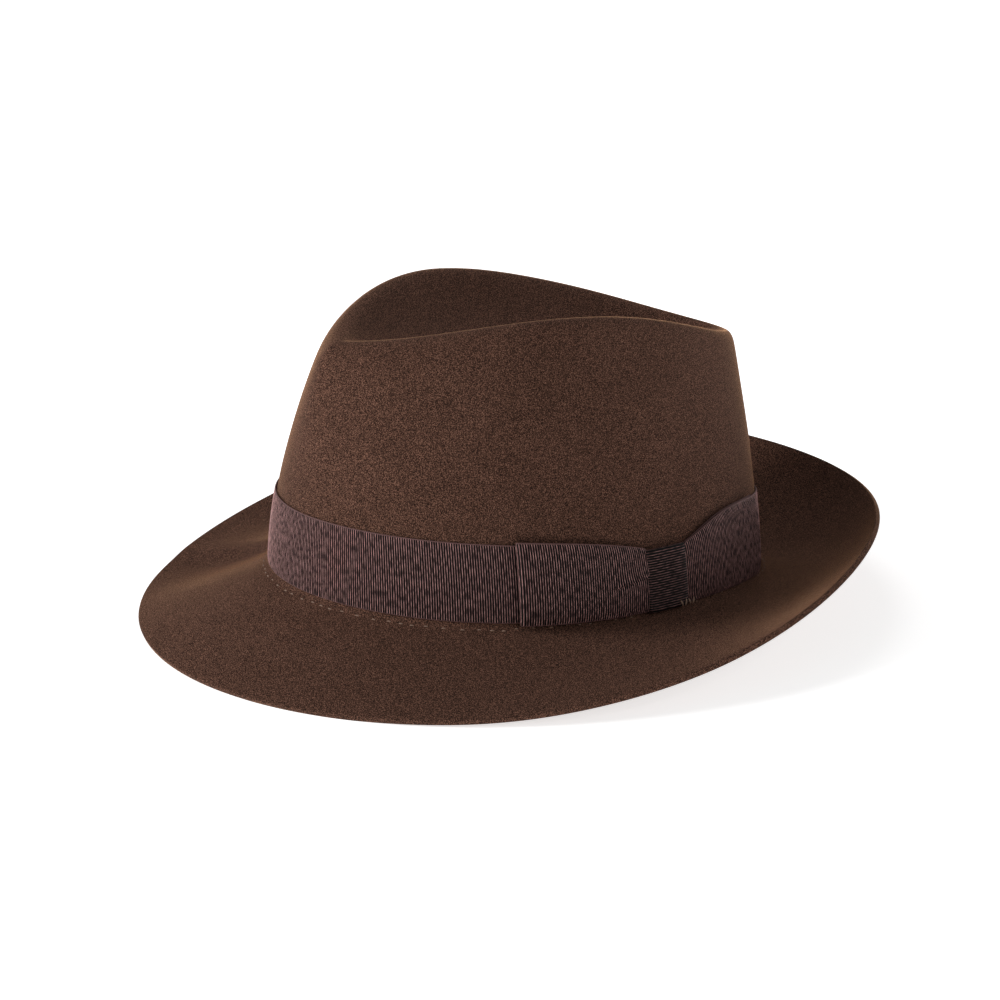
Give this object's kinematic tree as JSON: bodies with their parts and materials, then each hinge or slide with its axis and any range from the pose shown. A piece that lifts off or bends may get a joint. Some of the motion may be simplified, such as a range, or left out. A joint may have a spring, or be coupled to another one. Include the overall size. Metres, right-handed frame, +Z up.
{
  "type": "fedora hat",
  "caption": "Felt fedora with a creased teardrop crown, a brim turned down in front and up behind, a ribbed ribbon band with a flat bow, and a leather sweatband and satin lining.",
  "frame": {"origin": "centre of the bounding box, on the surface that the hat rests on", "axes": "+Z up, -Y to the front of the hat, +X to the wearer's left, where the bow is"},
  "size_m": [0.284, 0.31, 0.1274],
  "materials": {
    "felt": "matte brushed fur felt",
    "grosgrain": "ribbed ribbon with a soft sheen",
    "thread": "spun sewing thread",
    "leather": "smooth satin leather",
    "tape": "plain woven tape",
    "satin": "glossy satin weave",
    "small_ribbon": "satin ribbon",
    "clear_plastic": "clear flexible film",
    "card": "matte card"
  },
  "bodies": {
    "root": {"felt_body": "felt", "hat_band": "grosgrain", "bow_front_loop": "grosgrain", "bow_rear_loop": "grosgrain", "bow_knot": "grosgrain", "bow_tack_1": "thread", "bow_tack_2": "thread", "bow_tack_3": "thread", "bow_tack_4": "thread", "seam_thread_outside": "thread", "seam_thread_inside": "thread", "sweatband": "leather", "sweatband_reed": "clear_plastic", "reed_tape": "tape", "sweatband_joint_tab": "leather", "sweatband_bow_left_loop": "small_ribbon", "sweatband_bow_right_loop": "small_ribbon", "sweatband_bow_knot": "small_ribbon", "size_tag": "card", "lining_side": "satin", "lining_piping": "satin", "lining_tip": "satin", "tip_shield": "clear_plastic"}
  },
  "joints": []
}
